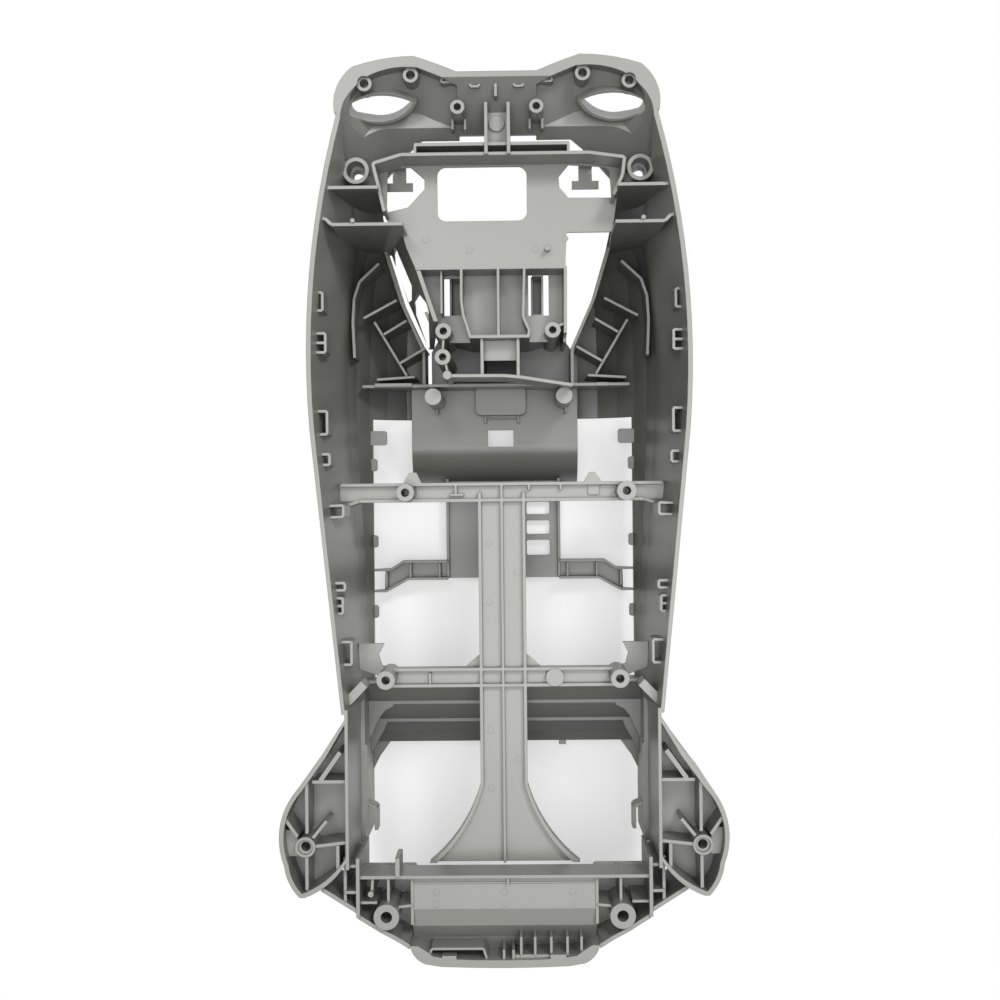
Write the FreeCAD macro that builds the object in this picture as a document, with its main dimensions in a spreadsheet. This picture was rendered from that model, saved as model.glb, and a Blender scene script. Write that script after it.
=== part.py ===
import FreeCAD, Part
import math
import os
import Sketcher

# One moulded housing of a tall floor appliance, lying on its front with its open side up.
# +Z is up out of the open side, +Y runs to the end with the two hand openings, +X to the right.
# The origin is under the middle of the part, on the surface that it lies on.

doc = FreeCAD.newDocument("housing")
sheet = doc.addObject("Spreadsheet::Sheet", "dims")


class Size:
    """A number together with the sheet expression that gives it."""

    def __init__(self, value, text):
        self.value = float(value)
        self.text = text

    def __add__(self, other):
        other = as_size(other)
        return Size(self.value + other.value, f"({self.text} + {other.text})")

    def __sub__(self, other):
        other = as_size(other)
        return Size(self.value - other.value, f"({self.text} - {other.text})")

    def __mul__(self, other):
        other = as_size(other)
        return Size(self.value * other.value, f"({self.text} * {other.text})")

    def __truediv__(self, other):
        other = as_size(other)
        return Size(self.value / other.value, f"({self.text} / {other.text})")

    def __neg__(self):
        return Size(-self.value, f"(0 - {self.text})")

    def __radd__(self, other):
        return as_size(other) + self

    def __rsub__(self, other):
        return as_size(other) - self

    def __rmul__(self, other):
        return as_size(other) * self


def as_size(number):
    if isinstance(number, Size):
        return number
    return Size(number, f"({float(number):.6g})")


def root(term):
    return Size(math.sqrt(term.value), f"sqrt({term.text})")


def turn(rise, run):
    angle = math.degrees(math.atan2(rise.value, run.value))
    return Size(angle, f"atan2({rise.text}; {run.text})")


def wave(kind, angle):
    result = getattr(math, kind)(math.radians(angle.value))
    return Size(result, f"{kind}({angle.text} * 1 deg)")


row_count = 0


def size(name, value, note):
    """Writes one driving dimension to the sheet and gives it back as a Size."""
    global row_count
    row_count += 1
    sheet.set(f"A{row_count}", name)
    sheet.set(f"B{row_count}", str(value))
    sheet.set(f"C{row_count}", note)
    sheet.setAlias(f"B{row_count}", name)
    return Size(value, f"dims.{name}")


settled = {}


def settle(term):
    """Gives a long expression a cell of its own in the sheet."""
    global row_count
    term = as_size(term)
    if "dims." not in term.text or len(term.text) < 40:
        return term
    if term.text not in settled:
        row_count += 1
        alias = f"step_{row_count}"
        sheet.set(f"B{row_count}", "=" + term.text.replace("dims.", ""))
        sheet.setAlias(f"B{row_count}", alias)
        settled[term.text] = Size(term.value, f"dims.{alias}")
    return settled[term.text]


def tie(item, **places):
    """Binds properties of an object to sheet expressions."""
    for name, term in places.items():
        item.setExpression(name.replace("__", "."), as_size(term).text)


def block(name, x, y, z, dx, dy, dz):
    item = doc.addObject("Part::Box", name)
    tie(item, Length=dx, Width=dy, Height=dz)
    tie(item, Placement__Base__x=x, Placement__Base__y=y, Placement__Base__z=z)
    return item


def rib(name, start, end, low, top, thick):
    """An upright rib of the given thickness between two plan points."""
    start = (settle(start[0]), settle(start[1]))
    end = (settle(end[0]), settle(end[1]))
    run = end[0] - start[0]
    rise = end[1] - start[1]
    long = root(run * run + rise * rise)
    item = doc.addObject("Part::Box", name)
    tie(item, Length=long, Width=thick, Height=as_size(top) - low)
    item.Placement.Rotation = FreeCAD.Rotation(FreeCAD.Vector(0, 0, 1), 1)
    tie(item, Placement__Rotation__Angle=turn(rise, run))
    tie(
        item,
        Placement__Base__x=start[0] + rise / long * thick / 2,
        Placement__Base__y=start[1] - run / long * thick / 2,
        Placement__Base__z=low,
    )
    return item


def post(name, x, y, radius, low, top):
    item = doc.addObject("Part::Cylinder", name)
    tie(item, Radius=radius, Height=as_size(top) - low)
    tie(item, Placement__Base__x=x, Placement__Base__y=y, Placement__Base__z=low)
    return item


def arc_centre(start, through, end):
    """Centre of the arc through three points."""
    across, up = through[0] - start[0], through[1] - start[1]
    chord_x, chord_y = end[0] - start[0], end[1] - start[1]
    area = settle(2 * (across * chord_y - up * chord_x))
    bend = settle(across * across + up * up)
    chord = settle(chord_x * chord_x + chord_y * chord_y)
    centre_x = start[0] + (chord_y * bend - up * chord) / area
    centre_y = start[1] + (across * chord - chord_x * bend) / area
    return centre_x, centre_y


def outline(name, points):
    """A closed sketch. A point is (x, y), or (x, y, bend x, bend y) where an arc leads to the next."""
    sketch = doc.addObject("Sketcher::SketchObject", name)
    spots = [tuple(settle(number) for number in point) for point in points]
    rules = []
    terms = []
    ends = []
    for index, spot in enumerate(spots):
        following = spots[(index + 1) % len(spots)]
        start = FreeCAD.Vector(spot[0].value, spot[1].value, 0)
        end = FreeCAD.Vector(following[0].value, following[1].value, 0)
        if len(spot) == 4:
            through = FreeCAD.Vector(spot[2].value, spot[3].value, 0)
            sketch.addGeometry(Part.Arc(start, through, end))
        else:
            sketch.addGeometry(Part.LineSegment(start, end))
        flipped = (sketch.getPoint(index, 1) - start).Length > (sketch.getPoint(index, 2) - start).Length
        ends.append((2, 1) if flipped else (1, 2))
    for index, spot in enumerate(spots):
        following = (index + 1) % len(spots)
        rules.append(Sketcher.Constraint("Coincident", index, ends[index][1], following, ends[following][0]))
        terms.append(None)
    for index, spot in enumerate(spots):
        rules.append(Sketcher.Constraint("DistanceX", index, ends[index][0], spot[0].value))
        rules.append(Sketcher.Constraint("DistanceY", index, ends[index][0], spot[1].value))
        terms += [spot[0], spot[1]]
        if len(spot) == 4:
            following = spots[(index + 1) % len(spots)]
            centre = arc_centre(spot[:2], spot[2:], following[:2])
            wide = abs(following[0].value - spot[0].value) > abs(following[1].value - spot[1].value)
            direction = "DistanceY" if wide else "DistanceX"
            rules.append(Sketcher.Constraint(direction, index, 3, centre[int(wide)].value))
            terms.append(centre[int(wide)])
    sketch.addConstraint(rules)
    for number, term in enumerate(terms):
        if term is not None and "dims." in term.text:
            sketch.setExpression(f"Constraints[{number}]", term.text)
    return sketch


def slab(name, points, low, top, taper=None):
    """A plan outline raised from one level to another."""
    sketch = outline(f"{name}_outline", points)
    tie(sketch, Placement__Base__z=low)
    item = doc.addObject("Part::Extrusion", name)
    item.Base = sketch
    item.DirMode = "Custom"
    item.Dir = FreeCAD.Vector(0, 0, 1)
    item.Solid = True
    tie(item, LengthFwd=as_size(top) - low)
    if taper is not None:
        tie(item, TaperAngle=taper)
    return item


def upright(name, points, along, start, end):
    """A profile of (across, z) points stood up and drawn out along X or Y."""
    sketch = outline(f"{name}_profile", points)
    item = doc.addObject("Part::Extrusion", name)
    item.Base = sketch
    item.DirMode = "Custom"
    item.Solid = True
    if along == "X":
        sketch.Placement.Rotation = FreeCAD.Rotation(FreeCAD.Vector(1, 1, 1), 120)
        tie(sketch, Placement__Base__x=start)
        item.Dir = FreeCAD.Vector(1, 0, 0)
    else:
        sketch.Placement.Rotation = FreeCAD.Rotation(FreeCAD.Vector(1, 0, 0), 90)
        tie(sketch, Placement__Base__y=start)
        item.Dir = FreeCAD.Vector(0, 1, 0)
    tie(item, LengthFwd=as_size(end) - start)
    return item


def fuse(name, items):
    item = doc.addObject("Part::MultiFuse", name)
    item.Shapes = list(items)
    return item


def cut(name, base, tools):
    if isinstance(tools, list):
        tool = fuse(f"{name}_tools", tools) if len(tools) > 1 else tools[0]
    else:
        tool = tools
    item = doc.addObject("Part::Cut", name)
    item.Base = base
    item.Tool = tool
    return item


def common(name, items):
    item = doc.addObject("Part::MultiCommon", name)
    item.Shapes = list(items)
    return item


def mirror(name, item):
    """The same form on the other side of the middle plane."""
    twin = doc.addObject("Part::Mirroring", name)
    twin.Source = item
    twin.Base = FreeCAD.Vector(0, 0, 0)
    twin.Normal = FreeCAD.Vector(1, 0, 0)
    return twin



# Driving dimensions, in millimetres and degrees

length = size("length", 595, "overall length")
depth = size("depth", 150, "rim plane above the surface the part lies on")
wall = size("wall", 3, "shell wall")
web = size("web", 2.2, "rib and web thickness")
plate = size("plate", 2.5, "thickness of the raised plates")
rim_low = size("rim_low", 105, "half width over the rim at the lower end of the hull")
rim_bend = size("rim_bend", 124, "half width over the rim where the sides start to curve")
rim_side = size("rim_side", 124.5, "half width over the rim at the widest place")
rim_corner = size("rim_corner", 104.5, "half width over the rim at the top corner")
hull_low = size("hull_low", -131, "where the hull ends and the lower box begins")
hull_bend = size("hull_bend", 55, "where the sides start to curve")
hull_end = size("hull_end", 287, "rim of the top end wall")
corner_round = size("corner_round", 26, "rounding of the top corners at the rim")
draft = size("draft", 7, "lean of the side walls")
low_draft = size("low_draft", 3, "lean of the side walls at their lower end")
ramp = size("ramp", 34, "lean of the top end wall")
bilge = size("bilge", 50, "rounding between side walls and front")
front_edge = size("front_edge", 95, "half width of the open front between the side walls")
front_top = size("front_top", 68, "top edge of the open front")

plate_top = size("plate_top", 105, "top face of the raised plate")
cell_floor = size("cell_floor", 75, "floor of the cells below the raised plate")
channel_top = size("channel_top", 135, "top edges of the channel across the plate")
stem_top = size("stem_top", 145, "top edges of the ribs beside the plate")
beam_top = size("beam_top", 100, "top edges of the cross beams and the strap")
beam_tall = size("beam_tall", 12, "height of the beam and strap ribs")
beam_drop = size("beam_drop", 5, "web below the rib edges of the beams")
upper_beam = size("upper_beam", 13.5, "middle of the upper beam")
lower_beam = size("lower_beam", -113, "middle of the lower beam")
beam_wide = size("beam_wide", 11, "rib to rib distance of a beam")
strap_half = size("strap_half", 15, "half width of the strap at its ribs")
strap_foot = size("strap_foot", 50, "half width of the strap foot")
foot_top = size("foot_top", 114, "top face of the bottom plate")

screw_hole = size("screw_hole", 2.9, "radius of a screw hole")
boss_small = size("boss_small", 4.9, "radius of a small screw boss")
boss_mid = size("boss_mid", 6.3, "radius of a beam boss")
boss_large = size("boss_large", 8.4, "radius of a bottom boss")

ear_low = size("ear_low", 40, "underside of the ears")
ear_floor = size("ear_floor", 118, "floor of the ear pockets")
ear_reach = size("ear_reach", 146, "half width over the ears at the rim")
ear_swell = size("ear_swell", 5, "how far the ear walls swell out below the rim")
side_wall = size("side_wall", 101, "half width of the lower side walls")
box_wall = size("box_wall", 96, "half width of the bottom box")
box_top = size("box_top", -239.5, "top wall of the bottom box")
lip_end = size("lip_end", -297.5, "lowest edge of the bottom lip")


# Hull

def bilge_drop(angle):
    """How far in and how far up the rounded lower edge runs at an angle."""
    turned = Size(angle, f"({angle})")
    return bilge * (1 - wave("cos", turned)), bilge * (1 - wave("sin", turned))


def hull_section(name, height, inset, offset, angle):
    """Plan outline of the hull at one height; offset moves it in by a wall."""
    turned = Size(angle, f"({angle})")
    inward = inset + offset * wave("cos", turned)
    level = height + offset * wave("sin", turned)
    down = depth - height
    lean = down * wave("tan", draft)
    end = hull_end - (depth - level) * wave("tan", ramp) - offset * 1.2
    rounding = corner_round + down * 0.1
    start_y = end - rounding
    low = rim_low - down * wave("tan", low_draft) - (inward - 0.7 * inset)
    bend = rim_bend - lean - inward
    corner = rim_corner - lean - inward + (hull_end - corner_round - start_y) * 0.16
    side = rim_side - lean - inward
    side_y = hull_bend + (start_y - hull_bend) * 0.42
    low_y = hull_low - offset * 2
    nip = rounding * 0.293
    points = [
        (low, low_y),
        (bend, hull_bend, side, side_y),
        (corner, start_y, corner - nip, end - nip),
        (corner - rounding, end),
        (rounding - corner, end, nip - corner, end - nip),
        (0 - corner, start_y, 0 - side, side_y),
        (0 - bend, hull_bend),
        (0 - low, low_y),
    ]
    sketch = outline(name, points)
    tie(sketch, Placement__Base__z=level)
    return sketch


def hull_solid(name, offset):
    sections = []
    if offset.value > 0:
        sections.append(hull_section(f"{name}_above", depth + 6, as_size(0), offset, 0))
    for number, height in enumerate((depth, bilge)):
        sections.append(hull_section(f"{name}_side_{number}", height, as_size(0), offset, 0))
    for angle in (18, 36, 54, 72, 90):
        across, up = bilge_drop(angle)
        sections.append(hull_section(f"{name}_bilge_{angle}", up, across, offset, angle))
    solid = doc.addObject("Part::Loft", name)
    solid.Sections = sections
    solid.Solid = True
    solid.Ruled = True
    return solid


hull_outer = hull_solid("hull_outer", as_size(0))
hull_inner = hull_solid("hull_inner", wall)

shell_full = cut("shell_full", hull_outer, hull_inner)
front_opening = block(
    "front_opening", -front_edge, hull_low - 10, -5, 2 * front_edge, front_top - hull_low + 10, 45
)
recess_right = [(50, 92), (50, 117), (66, 152), (77, 190), (82, 215), (78, 232), (62, 245.5), (46, 255.5)]
recess_left = [(-x - (5 if y < 200 else 2), y) for x, y in reversed(recess_right)]
recess = slab("recess", recess_right + recess_left, -5, 120)
shell = cut("shell", shell_full, [front_opening, recess])

sides = ((1, "right"), (-1, "left"))
inside = []
untrimmed = []
groups = []


def gather(name):
    """Joins what a section has made into one group."""
    groups.append(fuse(name, inside))
    inside.clear()



def chain(name, points, low, top, thick, closed=False):
    """Upright ribs through a row of plan points."""
    stops = list(points) + [points[0]] if closed else list(points)
    return [
        rib(f"{name}_{number}", stops[number], stops[number + 1], low, top, thick)
        for number in range(len(stops) - 1)
    ]


def slope(name, low_points, top_points, low, top):
    """A solid between two outlines at two heights."""
    lower = outline(f"{name}_low", low_points)
    tie(lower, Placement__Base__z=low)
    upper = outline(f"{name}_top", top_points)
    tie(upper, Placement__Base__z=top)
    item = doc.addObject("Part::Loft", name)
    item.Sections = [lower, upper]
    item.Solid = True
    item.Ruled = True
    return item


def boss(name, x, y, radius, low, top, hole=None, floor=4, mouth=None, group=inside):
    """A screw boss with its pilot hole, and a wider mouth where the screw head sits in it."""
    body = post(f"{name}_body", x, y, radius, low, top)
    tools = [post(f"{name}_hole", x, y, hole or screw_hole, as_size(low) + floor, as_size(top) + 2)]
    if mouth is not None:
        tools.append(post(f"{name}_mouth", x, y, mouth[0], as_size(top) - mouth[1], as_size(top) + 2))
    group.append(cut(name, body, tools))


# Horns and hand openings

horn_low = size("horn_low", 104, "where the horns grow out of the end wall")
horn_floor = size("horn_floor", 128, "floor inside the horns")
horn_lip = size("horn_lip", 7.5, "width of the rounded lip round the horns")
horn_high = size("horn_high", 134, "where the horns reach their full width")


def horn_outline(side, shrink, back):
    """Plan outline of one horn, shrunk inwards and moved back."""
    up = length / 2 - shrink - back
    return [
        (side * 26, hull_end - shrink - back, side * 37, up - 6),
        (side * (54 - shrink * 0.3), up, side * 75, up - 1.8),
        (side * (94 - shrink), up - 6.5, side * (102.5 - shrink), up - 16),
        (side * (106 - shrink), up - 36),
        (side * 60, up - 52),
        (side * 26, up - 40),
    ]


horn_upper = slab("horn_upper", horn_outline(-1, 0, 0), horn_high, depth)
horn_under = slope("horn_under", horn_outline(-1, 7, 13), horn_outline(-1, 0, 0), horn_low, horn_high)
horn_left = fuse("horn_left", [horn_upper, horn_under])
horn_right = mirror("horn_right", horn_left)
room_upper = slab("room_upper", horn_outline(-1, horn_lip, 0), horn_high + 4, depth + 5)
room_under = slope(
    "room_under", horn_outline(-1, 7 + horn_lip * 0.6, 18), horn_outline(-1, horn_lip, 0), horn_floor - 14, horn_high + 4
)
room_left = fuse("room_left", [room_upper, room_under])
room_right = mirror("room_right", room_left)
horn_pair = cut("horn_pair", fuse("horn_both", [horn_left, horn_right]), hull_inner)
skin_full = fuse("skin_full", [shell, horn_pair])
skin = cut("skin", skin_full, [room_left, room_right])


def eye_outline(side, shrink):
    return [
        (side * (53 + shrink), 275, side * 76, 283.5 - shrink),
        (side * (97 - shrink), 276, side * (100 - shrink), 269.5),
        (side * (95 - shrink), 263, side * 74, 257.5 + shrink),
    ]


def leaning(name, points, level, low, top, lean):
    """An outline, given at one level, drawn out while it leans towards the open side."""
    sketch = outline(f"{name}_outline", points)
    tie(sketch, Placement__Base__z=low, Placement__Base__y=(as_size(level) - low) * lean)
    item = doc.addObject("Part::Extrusion", name)
    item.Base = sketch
    item.DirMode = "Custom"
    item.Dir = FreeCAD.Vector(0, -lean, 1)
    item.Solid = True
    tie(item, LengthFwd=(as_size(top) - low) * math.hypot(1, lean))
    return item


eye_level = size("eye_level", 127, "level at which the hand openings are measured")
eye_hole_left = leaning("eye_hole_left", eye_outline(-1, 2.4), eye_level, 70, 150, 0.5)
eye_holes = [eye_hole_left, mirror("eye_hole_right", eye_hole_left)]
eye_band = upright("eye_band", [(240, 66), (290, 140), (290, 164), (240, 90)], "X", -106, -44)
eye_seat = post("eye_seat", -86.6, 281, 3.9, 131, depth + 5)
eye_outside = leaning("eye_outside", eye_outline(-1, 0), eye_level, 70, 150, 0.5)
eye_tube = cut("eye_tube", eye_outside, [eye_hole_left, eye_seat])
eye_ring_left = common("eye_ring_left", [eye_tube, eye_band])
untrimmed.append(eye_ring_left)
untrimmed.append(mirror("eye_ring_right", eye_ring_left))
for side, word in sides:
    for number, (x, y) in enumerate(((56.2, 286.2), (86.6, 281))):
        boss(f"horn_{word}_boss_{number}", side * x, y, 5, 129, 146, 2.9, 3, group=untrimmed)
    for low_x, high_x, near in ((27, 36, 281.5), (11.5, 17.2, 278.5)):
        inside += chain(
            f"end_clip_{word}_{low_x}",
            [(side * low_x, 286), (side * low_x, near), (side * high_x, near), (side * high_x, 286)],
            122, 145, 1.5,
        )
    boss(f"end_{word}_boss", side * 25.8, 265, 4.7, 105, 146, 2.4, 25)
    inside.append(rib(f"bridge_{word}", (side * 7.4, 270), (side * 7.4, 236), 96, 138, web))
    for x in (21.6, 30):
        inside.append(rib(f"end_{word}_foot_{x:.0f}", (side * x, 263), (side * x, 256), 104, 122, 1.6))
    boss(f"deep_{word}_boss", side * 95.3, 229.8, 8.9, 50, 120, 3.8, -2, (6.3, 16))
inside.append(rib("end_rib", (-0.7, 288), (-0.7, 272), 118, 145, 1.8))
inside.append(block("bridge_sheet", -7.4, 243, 122, 14.8, 27, 2.5))
inside.append(post("bridge_pad", -0.5, 258.5, 5.2, 122, 126.5))


gather("end_group")


# Raised plate

plate_left = size("plate_left", -65.5, "left edge of the raised plate")
plate_right = size("plate_right", 46, "right edge of the raised plate")
plate_low = size("plate_low", 166, "lower edge of the raised plate")
plate_end = size("plate_end", 237, "upper edge of the raised plate")
stem_y = size("stem_y", 189.3, "rib that runs from the side walls to the raised plate")
window_left = size("window_left", -41.5, "left side of the plate window")
window_right = size("window_right", 19.2, "right side of the plate window")
window_low = size("window_low", 197.7, "lower side of the plate window")
window_high = size("window_high", 234.5, "upper side of the plate window")
window_round = size("window_round", 6, "rounding of the plate window")


def rounded(left, right, low, high, radius):
    """A rectangle with rounded corners."""
    nip = radius * 0.293
    return [
        (left + radius, low),
        (right - radius, low, right - nip, low + nip),
        (right, low + radius),
        (right, high - radius, right - nip, high - nip),
        (right - radius, high),
        (left + radius, high, left + nip, high - nip),
        (left, high - radius),
        (left, low + radius, left + nip, low + nip),
    ]


plate_outline = [
    (-77, stem_y), (plate_left, stem_y), (plate_left + 2.5, 180), (-57, plate_low),
    (plate_right - 1, plate_low), (plate_right, stem_y), (77, stem_y), (82, 222), (84, 233.5),
    (60, plate_end), (-64, plate_end), (-82.5, 231.3), (-75.5, 199.5),
]
plate_full = slab("plate_full", plate_outline, plate_top - plate, plate_top)
plate_cuts = [
    slab(
        "plate_window",
        rounded(window_left, window_right, window_low, window_high, window_round),
        90, 120,
    ),
    slab(
        "plate_left_opening",
        [(-75.2, 234.1), (-59.6, 234.7), (-50.2, 226.5), (-50.2, 219.7), (-61.6, 207.5), (-76.2, 204.2)],
        90, 120,
    ),
    slab(
        "plate_right_opening",
        [
            (47.7, 235.2), (40.9, 227.1), (41.5, 219.9), (47.5, 212.8), (76.7, 212.5),
            (75.5, 230.9), (72.2, 233.6),
        ],
        90, 120,
    ),
]
inside.append(cut("plate_sheet", plate_full, plate_cuts))
inside.append(post("plate_pin", 32.8, 177.6, 1.8, plate_top - plate, plate_top + 8))
inside += chain("channel_far", [(-55, 243.2), (47.5, 243.2)], 104, channel_top, web)
inside += chain(
    "channel_near",
    [(-75.2, 199.5), (-82.5, 231.3), (-64, 236.8), (60.2, 236.8), (83.8, 233.5), (82.4, 221.8), (76.3, 208.6)],
    plate_top - plate, channel_top, web,
)
for number, x in enumerate((-54.5, -8, 7, 46.8)):
    inside.append(rib(f"channel_end_{number}", (x, 236.8), (x, 243.2), 104, channel_top, 1.8))
inside.append(block("channel_floor", -55, 236.8, 104, 102.5, 6.4, 2))
for middle, word in ((-68.3, "left"), (59.6, "right")):
    inside.append(block(f"hanger_{word}_stem", middle - 4.6, 226, 88, 9.2, 12, 2.5))
    inside.append(block(f"hanger_{word}_bar", middle - 9.2, 221.5, 88, 18.4, 5.5, 2.5))
    inside.append(block(f"hanger_{word}_root", middle - 4.6, 235.6, 88, 9.2, 2.4, 20))


gather("plate_group")


# Ribs between the side walls and the raised plate

far_stem_y = size("far_stem_y", 213.5, "second rib from the side walls")
for side, word in sides:
    reach = 62.4 if side < 0 else 76.8
    inside.append(
        upright(
            f"stem_{word}",
            [
                (side * 109, stem_top), (side * reach, stem_top), (side * reach, plate_top - 12),
                (side * 79, 30), (side * 79, 0), (side * 109, 0),
            ],
            "Y", stem_y - web / 2, stem_y + web / 2,
        )
    )
    inside += chain(
        f"stem_{word}_jog",
        [(side * 109, stem_y), (side * 113.2, 193.4), (side * 124, 193)], 0, stem_top, web,
    )
    inside.append(
        upright(
            f"far_stem_{word}",
            [
                (side * 124, stem_top), (side * 78.5, stem_top), (side * 79.5, 70),
                (side * 81, 20), (side * 124, 0),
            ],
            "Y", far_stem_y - web / 2, far_stem_y + web / 2,
        )
    )
    inside.append(post(f"stem_{word}_pin", side * 95, 191.5, 1.5, stem_top - 8, stem_top + 2))


gather("stem_group")


# Skirt of the raised plate, with its two slots on the left

skirt = slope(
    "skirt_full",
    [(-80, 190), (-77, 190), (-63, 152), (-48.5, 117.5), (-52.3, 117.5), (-67, 152)],
    [(-66, 190), (-63, 190), (-54, 166), (-42, 130), (-45, 130), (-57, 166)],
    36, plate_top - 1,
)
slots = [
    slab(
        "slot_long",
        [(-76.2, 186.5, -74.5, 188), (-72.8, 185), (-62, 159), (-63.5, 151.6), (-66.5, 151.6), (-75.7, 177)],
        20, 101,
    ),
    slab(
        "slot_wide",
        [(-61.5, 151.3), (-56.5, 152.8), (-48.2, 141), (-51.5, 118), (-53, 119), (-61.2, 142.7)],
        20, 101,
    ),
]
inside.append(cut("skirt", skirt, slots))
for side, word in sides:
    shift = 0 if side > 0 else 5
    inside += chain(
        f"recess_wall_{word}",
        [
            (side * (78.5 + shift), 190), (side * (67 + shift), 152), (side * (51 + shift), 116),
            (side * (51 + shift), 90),
        ],
        0, 46 if side > 0 else 38, web,
    )


gather("skirt_group")


# Cells below the raised plate

cell_sheet = slab(
    "cell_sheet",
    [(-57, plate_low), (45.5, plate_low), (45.5, 128), (34, 118), (-36, 118), (-50, 140)],
    cell_floor - plate, cell_floor,
)
cell_cuts = [
    block("cell_cut_left", -39, 137, 60, 13, 26, 30),
    block("cell_cut_right", 19.8, 136.5, 60, 14.2, 29, 30),
]
inside.append(cut("cells", cell_sheet, cell_cuts))
inside += chain(
    "cell_left", [(-25.8, plate_low), (-26, 144), (-24.7, 134), (-20.1, 119.2)],
    cell_floor - plate, plate_top, 1.8,
)
inside += chain(
    "cell_right", [(17.1, plate_low), (16, 132.2), (20, 123.3), (19.5, 119.2)],
    cell_floor - plate, plate_top, 1.8,
)
inside += chain("cell_middle", [(-0.8, plate_low), (-0.8, 119.2)], cell_floor - plate, plate_top, 1.8)
inside += chain("cell_front", [(-20.8, 119.2), (20.2, 119.2)], cell_floor - plate, plate_top, web)
inside += chain("cell_edge_left", [(-39.8, plate_low), (-39.8, 136)], cell_floor - plate, 98, 1.5)
inside += chain("cell_edge_right", [(45, plate_low), (44.6, 121)], cell_floor - plate, plate_top, web)
inside += chain("plate_face", [(-57, plate_low), (45.5, plate_low)], cell_floor - plate, plate_top, web)
for left, right, word in ((-35, -26.5, "left"), (22.6, 29.5, "right")):
    inside.append(block(f"trough_{word}", left, 135.5, 42, right - left, 30, 2))
    inside.append(block(f"trough_{word}_near", left, 135.5, 42, right - left, 1.8, 33))
    inside.append(block(f"trough_{word}_far", left, 163.8, 42, right - left, 1.8, 33))
    inside.append(rib(f"trough_{word}_wall", (left, 135.5), (left, 165.6), 42, 60, 1.5))
    inside.append(rib(f"trough_{word}_side", (right, 135.5), (right, 165.6), 42, 75, 1.5))
boss("cell_boss_left", -38.4, 123.2, 5.4, 8, plate_top, 2.5, 71)
boss("cell_boss_right", 36, 123.2, 5.4, 8, plate_top, 2.5, 71)
boss("cell_boss_third", -39, 105.6, 5.4, 8, plate_top, 2.5, 71)
inside.append(rib("cell_boss_link", (-38.4, 119), (-39, 110), 8, plate_top - 2, 1.6))
inside.append(rib("cell_boss_arm", (-37, 101), (-35.4, 92.8), 20, plate_top - 1, 1.6))
inside.append(rib("cell_boss_side", (39, 126), (45, 128), 8, plate_top - 2, 1.6))
inside += chain(
    "pit_wall", [(-52, 140), (-46, 126), (-20, 119), (20, 119), (45, 127), (45, 118)], 8, cell_floor, web,
)
inside.append(slab("pit_floor", [(-52, 88), (52, 88), (52, 118), (45, 128), (-46, 128), (-52, 118)], 5, 8))
for side, word in sides:
    inside.append(rib(f"box_{word}", (side * 12.3, 92), (side * 12.3, 119), 8, plate_top - 4, web))
inside.append(block("box_floor", -12.3, 104, 88, 24.6, 14, 2.2))
bar_points = [(-35.4, 92.8), (2.7, 92.5), (14.2, 91.4), (31.1, 88.6), (49, 85.7)]
inside += chain("front_bar", bar_points, 50, plate_top, web)
inside.append(post("front_bar_end", -36, 93.2, 3, 20, plate_top + 1))
inside += chain("front_face", [(-52, 89.5), (52, 89.5)], 8, 60, web)


gather("cell_group")


# Cross wall and deep panel

panel_left = size("panel_left", -66, "left edge of the deep panel")
panel_right = size("panel_right", 55, "right edge of the deep panel")
panel_top = size("panel_top", 26, "face of the deep panel")
panel_end = size("panel_end", 24, "where the deep panel meets the front")
for near, far, word in ((-100, -37, "left"), (51.5, 92, "right")):
    inside.append(rib(f"cross_wall_{word}", (near, 90.5), (far, 90.5), 2, 45, web))
inside.append(block("cross_wall_cap_left", -91, 90, 42, 27, 2.5, 5))
inside.append(block("cross_wall_cap_right", 68, 89.3, 42, 9, 2.5, 4))
panel_profile = [
    (92, panel_top), (92, panel_top - 3), (50, panel_top - 3, 32, panel_top - 8.5), (panel_end, 0),
    (panel_end - 3, 0, 31, panel_top - 6), (50, panel_top),
]
panel_full = upright("panel_full", panel_profile, "X", panel_left, panel_right)
inside.append(cut("deep_panel", panel_full, block("panel_window", -10.4, 47, 10, 18.6, 12, 20)))
for middle, word in ((46.3, "right"), (-46.8, "left")):
    roll = post(f"half_round_{word}", middle, 70.5, 5.4, 0, 20)
    roll.Placement = FreeCAD.Placement(
        FreeCAD.Vector(middle, 90.5, 29), FreeCAD.Rotation(FreeCAD.Vector(1, 0, 0), 90)
    )
    inside.append(roll)
    inside.append(block(f"half_round_{word}_line", middle - 0.7, 70.5, 28, 1.4, 20, 7.4))
inside.append(slab("deep_tray", rounded(-19, 17.5, 69.5, 90, 4), panel_top - 2, panel_top + 9))
for side, word in sides:
    inside.append(rib(f"tray_{word}_foot", (side * 12, 64), (side * 12, 71), panel_top - 1, panel_top + 4, 1.8))
inside.append(block("tray_line", -12, 66.5, panel_top - 1, 24, 1, 2))


gather("panel_group")


# Beams and strap

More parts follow.
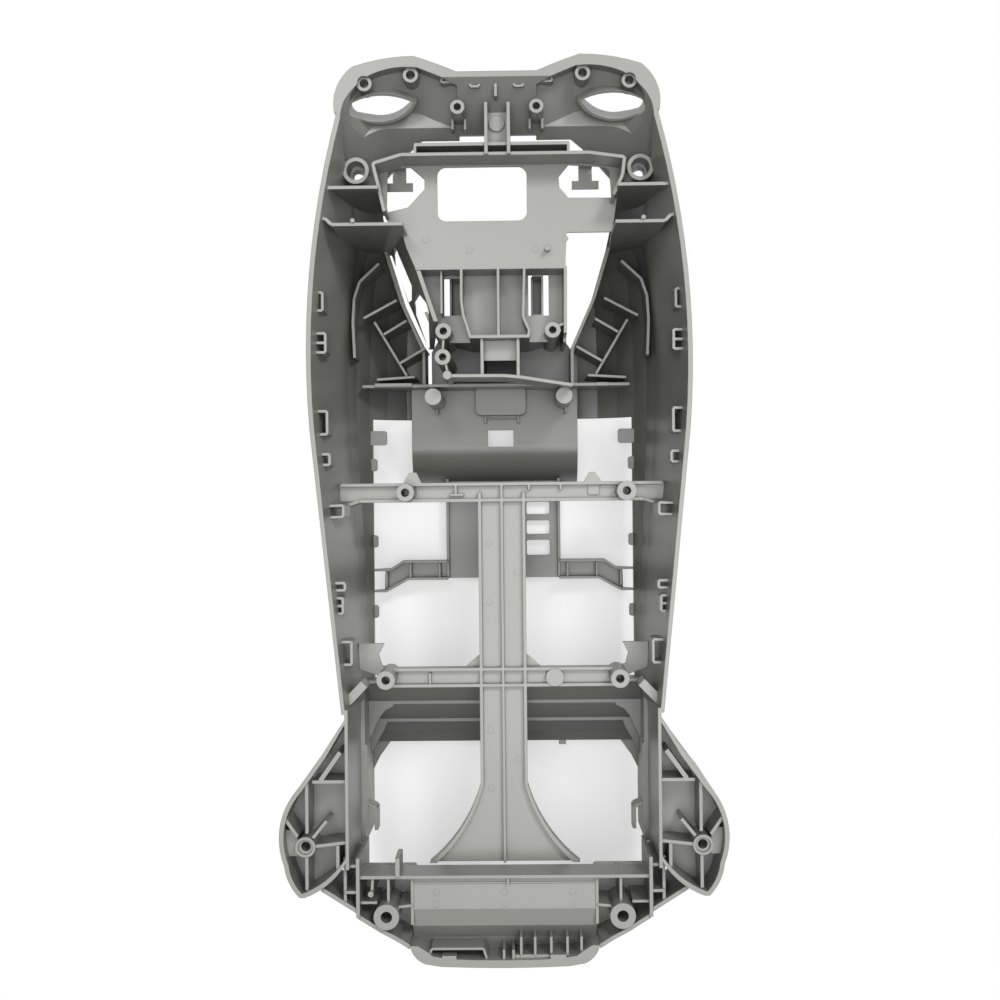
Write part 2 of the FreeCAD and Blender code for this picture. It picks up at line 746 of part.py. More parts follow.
beam_web = beam_top - beam_drop
for y_low, reach_left, reach_right, word in (
    (upper_beam - beam_wide / 2, 97, 97, "upper_near"),
    (upper_beam + beam_wide / 2, 110, 110, "upper_far"),
    (lower_beam - beam_wide / 2, 80, 80, "lower_near"),
    (lower_beam + beam_wide / 2, 80, 80, "lower_far"),
):
    inside.append(
        rib(f"beam_{word}", (-reach_left, y_low), (reach_right, y_low), beam_top - beam_tall, beam_top, web)
    )
inside.append(block("upper_beam_web", -112, upper_beam - beam_wide / 2, beam_web - web, 224, beam_wide, web))
inside.append(block("lower_beam_web", -80, lower_beam - beam_wide / 2, beam_web - web, 160, beam_wide, web))
strap_low = -186
strap_sheet = slab(
    "strap_sheet",
    [
        (strap_half, upper_beam), (-strap_half, upper_beam),
        (-strap_half, strap_low, -27, -214), (-strap_foot, box_top),
        (strap_foot, box_top, 27, -214), (strap_half, strap_low),
    ],
    beam_web - web, beam_web,
)
inside.append(strap_sheet)
strap_border = slab(
    "strap_border",
    [
        (strap_half + 1.1, upper_beam), (-strap_half - 1.1, upper_beam),
        (-strap_half - 1.1, strap_low, -28.1, -213.4), (-strap_foot - 1.3, box_top),
        (strap_foot + 1.3, box_top, 28.1, -213.4), (strap_half + 1.1, strap_low),
    ],
    beam_top - beam_tall, beam_top,
)
strap_hollow = slab(
    "strap_hollow",
    [
        (strap_half - 1.1, upper_beam + 5), (1.1 - strap_half, upper_beam + 5),
        (1.1 - strap_half, strap_low, -25.9, -214.6), (1.3 - strap_foot, box_top - 2),
        (strap_foot - 1.3, box_top - 2, 25.9, -214.6), (strap_half - 1.1, strap_low),
    ],
    beam_top - beam_tall - 5, beam_top + 5,
)
inside.append(cut("strap_ribs", strap_border, strap_hollow))
inside.append(
    rib("strap_middle", (0, upper_beam + beam_wide / 2), (0, box_top), beam_top - beam_tall, beam_top, 1.8)
)
boss("beam_boss_a", -64.3, upper_beam, 6, 72, 120, 2.8, 25)
boss("beam_boss_b", 84.3, upper_beam, 6.6, 72, 120, 2.8, 25)
for side, word in sides:
    boss(f"low_boss_{word}", side * 78.6, -112.3, boss_mid, 72, 120, 2.8, 25)
    inside.append(
        slab(
            f"corner_web_{word}",
            [
                (side * 101, -91.3), (side * 83, -91.3), (side * 87, -99), (side * 85, -106.5),
                (side * 78, -108.5), (side * 78, -118), (side * 90, -113), (side * 101, -109),
            ],
            74, 77,
        )
    )
    inside.append(
        slab(f"strap_gusset_{word}", [(side * 16, -98), (side * 16, -112), (side * 32, -112)], 88, 90.5)
    )
inside.append(rib("beam_t_stem", (-31.2, upper_beam + 5), (-31.2, 11.8), beam_web, beam_top, 1.6))
inside.append(rib("beam_t_bar", (-35.6, 11.8), (-25.7, 11.8), beam_web - 1, beam_top, 1.6))
for number, x in enumerate((18.8, 40.4)):
    inside.append(rib(f"beam_fin_{number}", (x, upper_beam + 5), (x, 14.6), beam_web - 1, beam_top, 1.6))
inside.append(slab("beam_tab_left", [(-67.5, 19), (-54, 19), (-58, 27.3), (-63, 27.3)], beam_top - 3, beam_top))
inside.append(slab("beam_tab_right", [(55.5, 19), (69, 19), (64, 26.5), (60, 26.5)], beam_top - 3, beam_top))
inside.append(slab("beam_pad", rounded(59, 67, 11, 18, 1.5), beam_web - 1, beam_web + 1.5))
inside.append(post("beam_disc", 35.3, -113.3, 6.2, beam_web - 2, beam_top + 1))
inside.append(rib("beam_low_fin", (-50, -118), (-50, -110), beam_web - 1, beam_top - 1, 1.6))


gather("beam_group")


# Deep frame at the front, between the side walls

ladder_full = slab(
    "ladder_full", [(-42, 26), (42, 26), (42, -49.5), (-42, -49.5)], 3, 7,
)
rungs = [
    slab(f"ladder_window_{number}", rounded(17.3, 34.3, low, high, 1.5), 0, 12)
    for number, (low, high) in enumerate(((-2.7, 6.4), (-17.5, -7.4), (-33.1, -21.8)))
]
inside.append(cut("ladder", ladder_full, rungs))
for side, word in sides:
    inside.append(rib(f"ladder_edge_{word}", (side * 41, 24), (side * 41, -49), 3, 14, 2))
    strap_line = [
        (side * 41, -36.8), (side * 74, -36.8), (side * 83, -42.6), (side * 99, -42.6),
        (side * 99, -58), (side * 86, -58), (side * 70, -49.2), (side * 41, -49.2),
    ]
    inside.append(
        cut(
            f"deep_strap_{word}",
            slab(f"deep_strap_{word}_full", strap_line, 7, 10.5),
            block(f"deep_strap_{word}_hole", side * 92 - 4, -56.5, 0, 8, 9, 20),
        )
    )
    inside += chain(f"deep_strap_{word}_edge", strap_line[:4], 7, 22, 1.8)
    inside += chain(f"deep_strap_{word}_rim", strap_line[4:], 7, 22, 1.8)
    for x in (47, 68.4, 86):
        inside.append(rib(f"deep_strap_{word}_fin_{x:.0f}", (side * x, -49 - max(0, x - 80)), (side * x, -38 - max(0, x - 80) * 0.8), 7, 20, 1.6))
    for number, (near, low, high) in enumerate(((84.6, 49, 59.4), (91.8, 30, 39), (91.7, -26, -17), (91.7, -77.6, -68.4))):
        inside.append(slab(f"edge_tab_{word}_{number}", rounded(near, 101, low, high, 2), 20, 23) if side > 0 else
                      slab(f"edge_tab_{word}_{number}", rounded(-101, -near, low, high, 2), 20, 23))


gather("frame_group")


# Stepped hood below the lower beam

hood_profile = [
    (-117.5, 74), (-119.7, 74), (-119.7, 56), (-136, 42), (-138.6, 42), (-138.6, 38), (-151, 26),
    (-153.6, 26), (-153.6, 22), (-163, 13), (-170, 11), (-170, 4), (-166, 4), (-166, 8), (-160, 9),
    (-150, 19), (-134, 37), (-117.5, 52),
]
inside.append(upright("hood", hood_profile, "X", -99, 99))
for side, word in sides:
    hood_corners = (
        (38, 42, [(80, -137), (101, -137), (101, -168), (96, -161), (93, -154), (90, -148), (86, -143), (80, -140)]),
        (22, 26, [(86, -152), (101, -152), (101, -190), (98, -177), (93, -167.5), (88, -159), (86, -154)]),
        (4, 8, [(85, -165), (101, -165), (101, -196), (98, -191), (93, -181), (90, -177), (85, -170)]),
    )
    for low, top, points in hood_corners:
        inside.append(slab(f"hood_corner_{word}_{low}", [(side * x, y) for x, y in points], low, top))
inside.append(block("hood_tab", 39.7, -173, 4, 5, 5, 7))


gather("hood_group")


# Lower side walls, ears and bottom box

for side, word in sides:
    inside.append(rib(f"low_wall_{word}", (side * 102, hull_low + 3), (side * 102, -232), 66, depth, 2.2))
    inside.append(rib(f"low_wall_{word}_foot", (side * 99.5, hull_low + 4), (side * 99.5, -232), 4, 70, 3))
    inside.append(rib(f"low_rail_{word}", (side * 99, -163), (side * 99, -221), 66, 70, 5))
    inside += chain(f"low_hook_{word}", [(side * 99, -205), (side * 91, -208.5), (side * 91, -224)], 50, 66, 2.4)
    inside.append(rib(f"clip_block_{word}", (side * 105, -127), (side * 92, -113.5), 106, 130, 6))
gather("wall_group")


def ear_outline(side, inset, swell):
    """Plan outline of one ear; inset moves it inwards and swell pushes its outer side out."""
    out = swell - inset
    spots = [
        ((101, -131), (0, 1), None, None),
        ((118, -157), (0.77, 0.64), None, None),
        ((134, -179), (0.82, 0.57), (146, -204), (1, 0.1)),
        ((143.4, -229), (1, -0.1), (140.6, -239.5), (0.9, -0.4)),
        ((133.5, -250), (0.5, -0.87), None, None),
        ((130, -250), (-0.2, -1), (112, -239), (-0.3, -1)),
        ((101, -224), (0, -1), None, None),
    ]
    result = []
    for (x, y), (nx, ny), through, normal in spots:
        point = [side * (x + out * nx), y + out * ny]
        if through is not None:
            point += [side * (through[0] + out * normal[0]), through[1] + out * normal[1]]
        result.append(tuple(point))
    return result


ear_full = slab("ear_full", ear_outline(-1, 0, 0), ear_low, depth)
ear_pocket = slab("ear_pocket", ear_outline(-1, 3, 0), ear_floor, depth + 5)
ear_under = slab("ear_under", ear_outline(-1, 3, 0), ear_low - 5, ear_floor - 3)
ear_left = cut("ear_left", ear_full, [ear_pocket, ear_under])
ears = [ear_left, mirror("ear_right", ear_left)]
for side, word in sides:
    ribs = [
        ((101, -175.3), (125, -175.3)), ((128.7, -176), (128.7, -209)), ((119.7, -174.5), (106.5, -156)),
        ((144, -198), (135, -211)), ((125, -212), (115.8, -200.8)), ((124, -217.5), (101, -214.8)),
        ((129, -224), (129, -246)), ((108.7, -217), (108.7, -233)),
    ]
    for number, (start, end) in enumerate(ribs):
        inside.append(
            rib(
                f"ear_{word}_rib_{number}", (side * start[0], start[1]), (side * end[0], end[1]),
                ear_floor - 1, depth - 4, 3 if number == 2 else web,
            )
        )
    boss(f"ear_{word}_boss", side * 129.8, -217.8, 6.7, ear_floor - 2, depth - 3, 3.1, 4, (4.9, 3), untrimmed)
    inside.append(slab(f"ear_{word}_pad", [(side * 144.8, -208), (side * 136, -208), (side * 136, -225.5), (side * 142.9, -225.5)], ear_floor - 1, 138))

gather("ear_group")

box_floor = size("box_floor", 100, "floor of the screw pockets in the bottom box")
foot_high = size("foot_high", 134, "top face of the bottom plate beside its crease")
box_low = size("box_low", 78, "underside of the bottom box")
lip_top = size("lip_top", 146, "top of the bottom lip")
rim_line = [
    (120, -246.5), (96.2, -261.5), (95.5, -265), (81, -274), (69, -280.5), (62, -285),
]
for side, word in sides:
    inside += chain(f"box_rim_{word}", [(side * x, y) for x, y in rim_line], box_low, depth - 8, 2.6)
    inside += chain(f"box_side_{word}", [(side * box_wall, -226), (side * box_wall, -265)], box_low, depth - 6, 2.4)
    inside += chain(f"cell_side_{word}", [(side * 104.7, -226), (side * 104.7, -255)], box_low, depth - 10, 2)
    inside += chain(f"cell_cross_{word}", [(side * 104.7, -248.6), (side * box_wall, -248.6)], box_low, depth - 8, 2)
    inside += chain(f"cell_head_{word}", [(side * 104.7, -231.5), (side * box_wall, -231.5)], box_low, depth - 8, 2)
    inside += chain(f"plate_side_{word}", [(side * 61, box_top), (side * 61, -272)], box_floor, foot_high + 1, 2)
    inside.append(
        slab(
            f"box_pocket_{word}",
            [(side * 61, box_top), (side * 96, box_top), (side * 96, -265), (side * 69, -280.5), (side * 61, -285)],
            box_floor - 2.5, box_floor,
        )
    )
    boss(f"bottom_boss_{word}", side * 77.3, -264.1, boss_large, box_floor - 1, depth - 4, 3.7, 10)
    inside.append(rib(f"bottom_boss_{word}_fin", (side * 76.5, box_top), (side * 76.5, -257), box_floor, depth - 12, 1.8))
    inside.append(rib(f"bottom_boss_{word}_wing", (side * 96, -256.5), (side * 84, -256.5), box_floor, depth - 12, 1.8))
    inside.append(rib(f"bottom_boss_{word}_root", (side * 61, -259), (side * 70, -260), box_floor, depth - 14, 1.8))
    inside.append(rib(f"bottom_boss_{word}_tail", (side * 77.3, -271), (side * 77.3, -276), box_floor, depth - 12, 1.8))
inside += chain("box_top_wall", [(-box_wall, box_top), (box_wall, box_top)], foot_top - 4, depth - 10, web)
inside.append(rib("box_peg", (-70.1, -226.5), (-70.1, -239), foot_top, depth - 8, 3))
inside.append(rib("box_fin_left", (-86.7, box_top), (-87.5, -250), box_floor, depth - 12, 1.8))
inside.append(post("box_pin_left", -87.8, -250, 1.9, box_floor, depth - 8))
foot_profile = [
    (-242, foot_high), (-262, foot_high), (-274, foot_high - 4), (-284, foot_high - 14), (-293, foot_top),
    (-293, foot_top - plate), (-283, foot_high - 17), (-273, foot_high - 6.7), (-262, foot_high - plate),
    (-242, foot_high - plate),
]
inside.append(upright("foot_plate", foot_profile, "X", -61, 61))
inside.append(block("foot_crease", -61, -245.2, foot_high - 1, 122, 1.2, 1.6))
inside.append(rib("foot_line", (2.3, -244.5), (2.3, box_top), foot_high - 1, depth - 11, 1.6))


def lip_outline(inset):
    return [
        (62 - inset, -283, 58.8 - inset, -290 + inset), (52 - inset, -294.8 + inset),
        (42 - inset, lip_end + 1 + inset, 22, lip_end + 0.3 + inset), (0, lip_end + inset, -22, lip_end + 0.3 + inset),
        (inset - 42, lip_end + 1 + inset), (inset - 52, -294.8 + inset, inset - 58.8, -290 + inset),
        (inset - 62, -283),
    ]


lip_full = slab("lip_full", lip_outline(0), foot_top - 12, lip_top)
lip_room = slab("lip_room", lip_outline(5), foot_top, lip_top + 5)
inside.append(cut("lip", lip_full, lip_room))
for number, x in enumerate((-0.6, 5.6)):
    inside.append(rib(f"lip_fin_{number}", (x, -286.5), (x, -294), foot_top - 1, lip_top - 3, 1.7))
for number, x in enumerate((10.7, 19.8, 30.4, 41, 50.2)):
    inside.append(rib(f"lip_comb_{number}", (x, -278.4), (x, -290.5), foot_top - 1, lip_top - 4, 1.7))
inside.append(block("lip_ledge", 5.3, -293.3, foot_top - 1, 47.5, 3, lip_top - foot_top - 4))
inside.append(block("lip_clip_right", 29.7, -295, foot_top, 10.5, 6, lip_top - foot_top))
inside.append(block("lip_clip_left", -41.2, -295, foot_top, 9.5, 5.5, lip_top - foot_top))
inside += chain("lip_loop", [(-11.9, -292.5), (-14, -286), (-48, -286), (-50.7, -292.5)], foot_top, lip_top - 4, 1.6)


gather("box_group")


# Clips on the side walls

clip_top = size("clip_top", 136, "top edges of the side wall clips")
wall_clips = (
    (116.6, 134.3, 146.2, 22), (114.9, 106.6, 119.2, 22), (114.2, 52.5, 67.7, 24), (112.8, 32.3, 39.3, 18),
    (103.5, -50.6, -45.9, 20), (105, -66.1, -55.8, 18), (99.5, -99.8, -84.8, 24),
)
for side, word in sides:
    for number, (near, low, high, tall) in enumerate(wall_clips):
        inside += chain(
            f"wall_clip_{word}_{number}",
            [(side * 128, low), (side * near, low), (side * near, high), (side * 128, high)],
            clip_top - tall, clip_top, 1.8,
        )
    inside.append(rib(f"wall_clip_{word}_bar", (side * 128, 112.9), (side * 115, 112.9), clip_top - 20, clip_top, 1.8))
    inside.append(rib(f"wall_clip_{word}_mid", (side * 128, -61), (side * 105, -61), clip_top - 18, clip_top, 1.8))
    inside += chain(
        f"beam_clip_{word}",
        [(side * 128, 4.6), (side * 104.8, 5.4), (side * 104.8, -2.2), (side * 128, -3)],
        96, 130, 1.8,
    )
    inside.append(rib(f"beam_link_{word}", (side * 97, 8.2), (side * 106, 5.2), 70, 96, 2.2))


gather("clip_group")


# Pockets beside the raised plate

for side, word in sides:
    inside.append(rib(f"pocket_rib_{word}_a", (side * 98, 138.8), (side * 74, 151.5), 2, 52, 1.8))
    inside.append(rib(f"pocket_rib_{word}_b", (side * 84, 127.5), (side * 67.5, 137.3), 2, 48, 1.8))
    inside.append(rib(f"pocket_rib_{word}_c", (side * 72.5, 106.8), (side * 54, 117.5), 2, 48, 1.8))
    inside.append(rib(f"pocket_face_{word}", (side * 91, 137), (side * 68, 98), 2, 44, 1.8))
    inside.append(rib(f"pocket_base_{word}", (side * 89.5, 95.3), (side * 62, 97), 2, 46, 1.8))
    inside += chain(
        f"pocket_arc_{word}",
        [(side * 86, 177), (side * 100, 164), (side * 104, 152), (side * 105, 135), (side * 104, 110)],
        10, 58, 2,
    )

gather("pocket_group")


# Everything inside is trimmed within the thickness of the walls, then joined to them

hull_middle = hull_solid("hull_middle", wall / 2)
trim_left = slab("trim_left", horn_outline(-1, wall / 2, 0), horn_low, depth - 1)
lower_room = block("lower_room", -200, lip_end - 10, -1, 400, hull_low - lip_end + 10, 200)
trimmer = fuse("trimmer", [hull_middle, trim_left, mirror("trim_right", trim_left), lower_room])
features = fuse("features", groups)
kept = common("kept", [features, trimmer])
# The shell makes room for the bosses that grow out of it, so that it doesn't fill their holes.
seats = []
for side, word in sides:
    seats.append(post(f"deep_seat_{word}", side * 95.3, 229.8, 4.6, 0, 118))
    for x, y in ((56.2, 286.2), (86.6, 281)):
        seats.append(post(f"horn_seat_{word}_{round(x)}", side * x, y, 3.9, 132, depth + 5))
pierced = cut("pierced", skin, eye_holes + seats)
housing = fuse("housing", [pierced, kept] + ears + untrimmed)
housing.Label = "housing"
doc.recompute()

# Checks and export

for item in doc.Objects:
    if any(word in item.State for word in ("Invalid", "Error")):
        raise RuntimeError(f"{item.Name} did not compute: {item.State}")
    if hasattr(item, "Shape") and item.TypeId != "Spreadsheet::Sheet":
        if item.Shape.isNull() or not item.Shape.isValid():
            raise RuntimeError(f"{item.Name} has no valid shape")
if len(housing.Shape.Solids) != 1:
    for loose in sorted(housing.Shape.Solids, key=lambda solid: solid.Volume)[:12]:
        box = loose.BoundBox
        print("loose", round(loose.Volume), box)
    print("solids", len(housing.Shape.Solids))
os.makedirs("parts", exist_ok=True)
housing.Shape.exportStep("parts/housing.step")
box = housing.Shape.BoundBox
print(f"housing {box.XLength:.1f} x {box.YLength:.1f} x {box.ZLength:.1f} mm, {housing.Shape.Volume / 1000:.0f} cm3")
print(box)
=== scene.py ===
import math

import bpy
from mathutils import Matrix, Vector


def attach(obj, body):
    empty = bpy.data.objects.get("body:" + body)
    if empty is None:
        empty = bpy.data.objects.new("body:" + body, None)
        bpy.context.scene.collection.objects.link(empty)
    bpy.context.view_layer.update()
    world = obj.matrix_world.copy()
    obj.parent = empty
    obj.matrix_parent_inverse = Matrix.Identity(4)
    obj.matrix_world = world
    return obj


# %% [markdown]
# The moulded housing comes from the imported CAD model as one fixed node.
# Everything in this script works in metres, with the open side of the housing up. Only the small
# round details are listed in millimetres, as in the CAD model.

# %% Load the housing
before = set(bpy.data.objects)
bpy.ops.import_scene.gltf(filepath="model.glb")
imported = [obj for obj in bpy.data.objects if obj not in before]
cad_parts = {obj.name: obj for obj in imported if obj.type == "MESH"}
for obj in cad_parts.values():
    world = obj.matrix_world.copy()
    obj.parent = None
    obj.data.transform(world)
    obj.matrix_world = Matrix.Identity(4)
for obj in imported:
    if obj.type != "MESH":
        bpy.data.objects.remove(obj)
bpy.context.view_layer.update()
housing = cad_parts["housing"]
print("nodes:", sorted(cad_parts))
print("triangles:", sum(len(p.vertices) - 2 for p in housing.data.polygons))


# %% [markdown]
# Colours are written as the sRGB values that a screen shows, so one function turns them into the
# linear values that the renderer works with. A second small function adds a shader node and sets
# its inputs, which keeps the material code short.

# %% Colour and node helpers
def colour(code):
    parts = [int(code[i:i + 2], 16) / 255 for i in (1, 3, 5)]
    linear = [p / 12.92 if p <= 0.04045 else ((p + 0.055) / 1.055) ** 2.4 for p in parts]
    return (*linear, 1.0)


def node(tree, kind, inputs=None, **settings):
    made = tree.nodes.new(kind)
    for name, value in settings.items():
        setattr(made, name, value)
    for key, value in (inputs or {}).items():
        socket = made.inputs[key]
        if hasattr(value, "links"):
            tree.links.new(value, socket)
        else:
            socket.default_value = value
    return made


plastic_grey = colour("#979792")
print("plastic grey, linear:", [round(c, 3) for c in plastic_grey])


# %% [markdown]
# The plastic is a light warm grey moulded ABS with a satin face. Its surface isn't perfectly flat:
# thick ribs leave shallow sink marks a few centimetres across, and the eroded mould leaves a fine
# grain of about half a millimetre. Both are small bumps. Deep corners, which see little of the
# sky, get painted shade, and the level faces at the bottom of the cavity, which lie in shade and are
# about half as bright as those near the rim, get painted shade that grows with depth. A bevel node
# rounds every sharp edge by about half a millimetre in the shading, as the mould's corners do.

# %% Moulded plastic material
def moulded_plastic(name, base):
    """A satin plastic of one colour, given as linear values, with moulded marks and painted deep shade.
    """
    material = bpy.data.materials.new(name)
    material.use_nodes = True
    tree = material.node_tree
    tree.nodes.clear()
    place = node(tree, "ShaderNodeTexCoord").outputs["Object"]
    sinks = node(tree, "ShaderNodeTexNoise", {"Vector": place, "Scale": 28.0, "Detail": 1.0})
    grain = node(tree, "ShaderNodeTexNoise", {"Vector": place, "Scale": 1900.0, "Detail": 2.0})
    edge = node(tree, "ShaderNodeBevel", {"Radius": 0.0006}, samples=4)
    wavy = node(tree, "ShaderNodeBump", {
        "Strength": 0.25, "Distance": 0.0006, "Height": sinks.outputs["Fac"],
        "Normal": edge.outputs["Normal"],
    })
    rough = node(tree, "ShaderNodeBump", {
        "Strength": 0.12, "Distance": 0.00005, "Height": grain.outputs["Fac"],
        "Normal": wavy.outputs["Normal"],
    })

    # Painted shade in deep corners: full strength where little of the sky is seen.
    open_sky = node(tree, "ShaderNodeAmbientOcclusion", {"Distance": 0.09}, samples=6)
    painted_corner_shade = node(tree, "ShaderNodeMapRange", {
        "Value": open_sky.outputs["AO"], "From Min": 0.12, "From Max": 0.55,
        "To Min": 0.6, "To Max": 1.0,
    })

    # Painted shade that grows with depth, only on faces that look up.
    height = node(tree, "ShaderNodeSeparateXYZ", {"Vector": place}).outputs["Z"]
    depth = node(tree, "ShaderNodeMapRange", {
        "Value": height, "From Min": 0.028, "From Max": 0.075, "To Min": 0.56, "To Max": 0.0,
    })
    facing = node(tree, "ShaderNodeNewGeometry").outputs["Normal"]
    upward = node(tree, "ShaderNodeMapRange", {
        "Value": node(tree, "ShaderNodeSeparateXYZ", {"Vector": facing}).outputs["Z"],
        "From Min": 0.0, "From Max": 0.1,
    })
    painted_depth_shade = node(tree, "ShaderNodeMath", {
        0: depth.outputs["Result"], 1: upward.outputs["Result"],
    }, operation="MULTIPLY")
    left_after_depth_shade = node(tree, "ShaderNodeMath", {0: 1.0, 1: painted_depth_shade.outputs[0]}, operation="SUBTRACT")
    # Both painted shades together: the corner shade times what the depth shade leaves.
    painted_shade_factor = node(tree, "ShaderNodeMath", {
        0: painted_corner_shade.outputs["Result"], 1: left_after_depth_shade.outputs[0],
    }, operation="MULTIPLY")

    # A slow drift of the tone, from the flow of the melt.
    flow = node(tree, "ShaderNodeTexNoise", {"Vector": place, "Scale": 9.0, "Detail": 4.0})
    drift = node(tree, "ShaderNodeMapRange", {
        "Value": flow.outputs["Fac"], "From Min": 0.3, "From Max": 0.7,
        "To Min": 0.965, "To Max": 1.03,
    })
    # The melt's random drift times both painted shades, made a grey and multiplied into the plastic's
    # colour.
    drift_and_painted_shade = node(tree, "ShaderNodeMath", {
        0: drift.outputs["Result"], 1: painted_shade_factor.outputs[0],
    }, operation="MULTIPLY")
    grey = node(tree, "ShaderNodeCombineColor", {
        "Red": drift_and_painted_shade.outputs[0], "Green": drift_and_painted_shade.outputs[0], "Blue": drift_and_painted_shade.outputs[0],
    })
    factor, colour_a, colour_b, mixed = 0, 6, 7, 2
    base_drift_and_painted_shade = node(tree, "ShaderNodeMix", {
        factor: 1.0, colour_a: base, colour_b: grey.outputs["Color"],
    }, data_type="RGBA", blend_type="MULTIPLY")
    surface = node(tree, "ShaderNodeBsdfPrincipled", {
        "Base Color": base_drift_and_painted_shade.outputs[mixed], "Roughness": 0.32, "IOR": 1.52,
        "Normal": rough.outputs["Normal"],
    })
    node(tree, "ShaderNodeOutputMaterial", {"Surface": surface.outputs["BSDF"]})
    return material


abs_grey = moulded_plastic("ABS, injection moulded, satin grey", plastic_grey)
housing.data.materials.clear()
housing.data.materials.append(abs_grey)
print("material:", abs_grey.name)


# %% [markdown]
# Small round details repeat over the moulding: two stout posts in front of the cross wall, and the
# thin round marks that the ejector pins of the mould leave on the flat faces. One Geometry Nodes
# group makes them all: it stands a cylinder on each point of a small mesh, joins the copies and
# gives them the plastic. The result is turned into a plain mesh and the modifier is taken off.

# %% Round details
MM_PER_METRE = 1000
SIDES_OF_CYLINDER = 40


def cylinder_group(name):
    group = bpy.data.node_groups.new(name, "GeometryNodeTree")
    face = group.interface
    face.new_socket("Geometry", in_out="INPUT", socket_type="NodeSocketGeometry")
    face.new_socket("Radius", in_out="INPUT", socket_type="NodeSocketFloat")
    face.new_socket("Height", in_out="INPUT", socket_type="NodeSocketFloat")
    face.new_socket("Material", in_out="INPUT", socket_type="NodeSocketMaterial")
    face.new_socket("Geometry", in_out="OUTPUT", socket_type="NodeSocketGeometry")
    given = node(group, "NodeGroupInput").outputs
    pin = node(group, "GeometryNodeMeshCylinder", {
        "Vertices": SIDES_OF_CYLINDER, "Radius": given["Radius"], "Depth": given["Height"],
    })
    half = node(group, "ShaderNodeMath", {0: given["Height"], 1: 0.5}, operation="MULTIPLY")
    lift = node(group, "ShaderNodeCombineXYZ", {"Z": half.outputs[0]})
    standing = node(group, "GeometryNodeTransform", {
        "Geometry": pin.outputs["Mesh"], "Translation": lift.outputs[0],
    })
    copies = node(group, "GeometryNodeInstanceOnPoints", {
        "Points": given["Geometry"], "Instance": standing.outputs[0],
    })
    solid = node(group, "GeometryNodeRealizeInstances", {"Geometry": copies.outputs[0]})
    dressed = node(group, "GeometryNodeSetMaterial", {
        "Geometry": solid.outputs[0], "Material": given["Material"],
    })
    node(group, "NodeGroupOutput", {"Geometry": dressed.outputs[0]})
    return group


def round_details(name, group, spots, radius, height):
    """One piece with a cylinder standing on each spot. Spots, radius and height are in mm."""
    mesh = bpy.data.meshes.new(name)
    mesh.from_pydata([[v / MM_PER_METRE for v in spot] for spot in spots], [], [])
    thing = bpy.data.objects.new(name, mesh)
    bpy.context.scene.collection.objects.link(thing)
    modifier = thing.modifiers.new("cylinders", "NODES")
    modifier.node_group = group
    values = {"Radius": radius / MM_PER_METRE, "Height": height / MM_PER_METRE, "Material": abs_grey}
    for item in group.interface.items_tree:
        if item.in_out == "INPUT" and item.name in values:
            modifier[item.identifier] = values[item.name]
    bpy.context.view_layer.update()
    ready = thing.evaluated_get(bpy.context.evaluated_depsgraph_get())
    thing.data = bpy.data.meshes.new_from_object(ready)
    thing.modifiers.clear()
    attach(thing, "root")
    print(name, len(spots), "copies,", len(thing.data.polygons), "faces")


cylinders = cylinder_group("cylinder on each point")
posts = [(-47, 80, 25), (44, 80, 25)]
round_details("cross_wall_posts", cylinders, posts, radius=5.8, height=60)
plate_top, strap_top, foot_top = 105, 95, 134
marks = [(x, y, plate_top) for x, y in ((-50, 185), (45, 185), (-20, 178), (25, 178))]
marks += [(-9, y, strap_top) for y in (-22, -62, -150, -190)]
marks += [(10, y, strap_top) for y in (-42, -170)]
marks += [(x, y, foot_top) for x in (-45, 0, 45) for y in (-251, -259)]
round_details("ejector_pin_marks", cylinders, marks, radius=2.2, height=0.12)

# %% [markdown]
# The housing lies on a sheet of white paper. The photograph is cut out along the outline of the
# part, so the paper outside it is plain white and only the paper seen through the openings shows
# the soft shadow of the beams. The floor shader does the same: in a patch under the openings half of
# what the camera sees is paper, and outside the patch camera rays meet an even white. All other
# rays always meet paper, so the light that the floor throws back stays real.

# %% Floor
FLOOR_SIZE = 6
GAP_UNDER_PART = 0.0005
bpy.ops.mesh.primitive_plane_add(size=FLOOR_SIZE, location=(0, 0, -GAP_UNDER_PART))
floor = bpy.context.object
floor.name = "floor"
paper = bpy.data.materials.new("White studio paper, matt")
paper.use_nodes = True
tree = paper.node_tree
tree.nodes.clear()

# How far a point of the floor lies from the patch, a rectangle given by its centre and half size.
# The white share is a half in the patch and rises to all of it over the length of the fade.
patch_centre = (0.0, -0.11, 0.0)
patch_half = (0.085, 0.16, 1.0)
fade_from, fade_to = 0.003, 0.034
here = node(tree, "ShaderNodeTexCoord").outputs["Object"]
offset = node(tree, "ShaderNodeVectorMath", {0: here, 1: patch_centre}, operation="SUBTRACT")
folded = node(tree, "ShaderNodeVectorMath", {0: offset.outputs[0]}, operation="ABSOLUTE")
beyond = node(tree, "ShaderNodeVectorMath", {0: folded.outputs[0], 1: patch_half}, operation="SUBTRACT")
clear = node(tree, "ShaderNodeVectorMath", {
    0: beyond.outputs[0], 1: (0.0, 0.0, 0.0),
}, operation="MAXIMUM")
away = node(tree, "ShaderNodeVectorMath", {0: clear.outputs[0]}, operation="LENGTH")
shade = node(tree, "ShaderNodeMapRange", {
    "Value": away.outputs["Value"], "From Min": fade_from, "From Max": fade_to,
    "To Min": 0.5, "To Max": 1.0,
}, interpolation_type="SMOOTHSTEP")

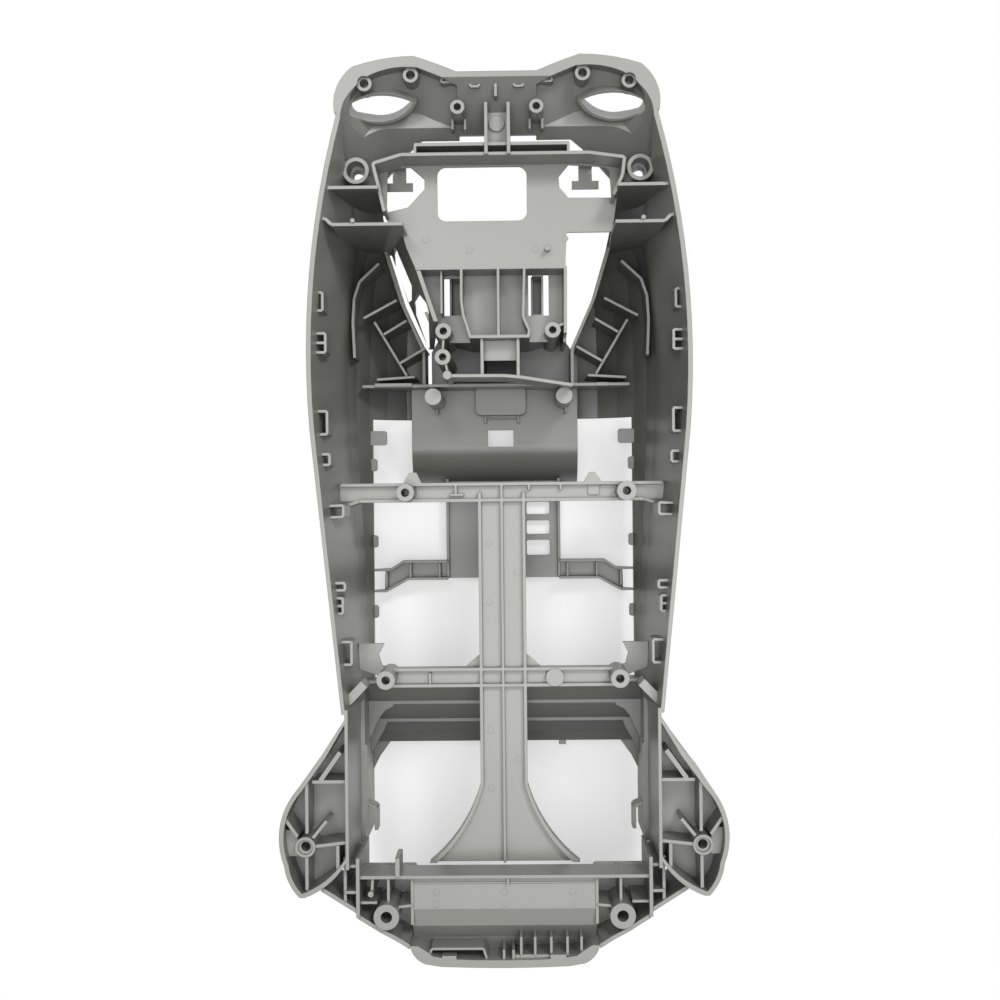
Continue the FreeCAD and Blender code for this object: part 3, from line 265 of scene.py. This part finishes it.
# Only camera rays meet the white share.
seen = node(tree, "ShaderNodeLightPath").outputs["Is Camera Ray"]
plain = node(tree, "ShaderNodeMath", {0: seen, 1: shade.outputs["Result"]}, operation="MULTIPLY")
sheet = node(tree, "ShaderNodeBsdfDiffuse", {"Color": (0.85, 0.85, 0.85, 1.0)})
white = node(tree, "ShaderNodeEmission", {"Color": (1.0, 1.0, 1.0, 1.0), "Strength": 1.0})
either = node(tree, "ShaderNodeMixShader", {
    0: plain.outputs[0], 1: sheet.outputs[0], 2: white.outputs[0],
})
node(tree, "ShaderNodeOutputMaterial", {"Surface": either.outputs[0]})
floor.data.materials.append(paper)
print("floor:", [round(v, 2) for v in floor.dimensions])


# %% [markdown]
# The walls inside the photographed part are darker than its level faces, so most of the light
# comes from above. A key lamp stands high beyond the hand openings on the right, and a weaker one
# on the left. A wide lamp overhead is the even light of a studio tent, a smaller one high above
# the camera gives the level faces their satin sheen, and a faint pale world fills the shadows.

# %% Lights
def lamp(name, place, target, size, power):
    light = bpy.data.lights.new(name, "AREA")
    light.shape = "DISK"
    light.size = size
    light.energy = power
    thing = bpy.data.objects.new(name, light)
    bpy.context.scene.collection.objects.link(thing)
    thing.location = place
    aim = Vector(target) - Vector(place)
    thing.rotation_euler = aim.to_track_quat("-Z", "Y").to_euler()
    return thing


aim_point = (0, 0, 0.1)
lamps = [
    lamp("key", (0.9, 1.2, 2.2), aim_point, size=0.5, power=26.0),
    lamp("side", (-0.5, 0.9, 2.3), aim_point, size=0.5, power=8.0),
    lamp("tent", (0.0, 0.1, 2.6), (0, 0.1, 0), size=2.6, power=18.0),
    lamp("sheen", (0.09, -0.15, 2.4), aim_point, size=1.2, power=20.0),
]
world = bpy.data.worlds.new("studio")
world.use_nodes = True
background = world.node_tree.nodes["Background"].inputs
background["Color"].default_value = (1, 1, 1, 1)
background["Strength"].default_value = 0.11
bpy.context.scene.world = world
print("lamps:", {thing.name: round(thing.data.energy, 1) for thing in lamps})


# %% [markdown]
# The camera looks almost straight down from a metre above the rim. It stands a little to the right
# of the middle and is turned by about half a degree, as in the photograph.

# %% Camera
camera_data = bpy.data.cameras.new("camera")
camera = bpy.data.objects.new("camera", camera_data)
bpy.context.scene.collection.objects.link(camera)
eye = Vector((0.014, 0.008, 1.15))
target = Vector((-0.0003, 0.008, 0.15))
roll = math.radians(0.56)
half_view = 0.325  # half the width of the view at one metre
back = (eye - target).normalized()
up = Vector((math.sin(roll), math.cos(roll), 0))
right = up.cross(back).normalized()
up = back.cross(right)
camera.matrix_world = Matrix.Translation(eye) @ Matrix((right, up, back)).transposed().to_4x4()
camera_data.sensor_width = 36
camera_data.angle = 2 * math.atan(half_view)
bpy.context.scene.camera = camera
bpy.context.scene.view_settings.view_transform = "Standard"
print("camera at", tuple(round(v, 3) for v in eye))
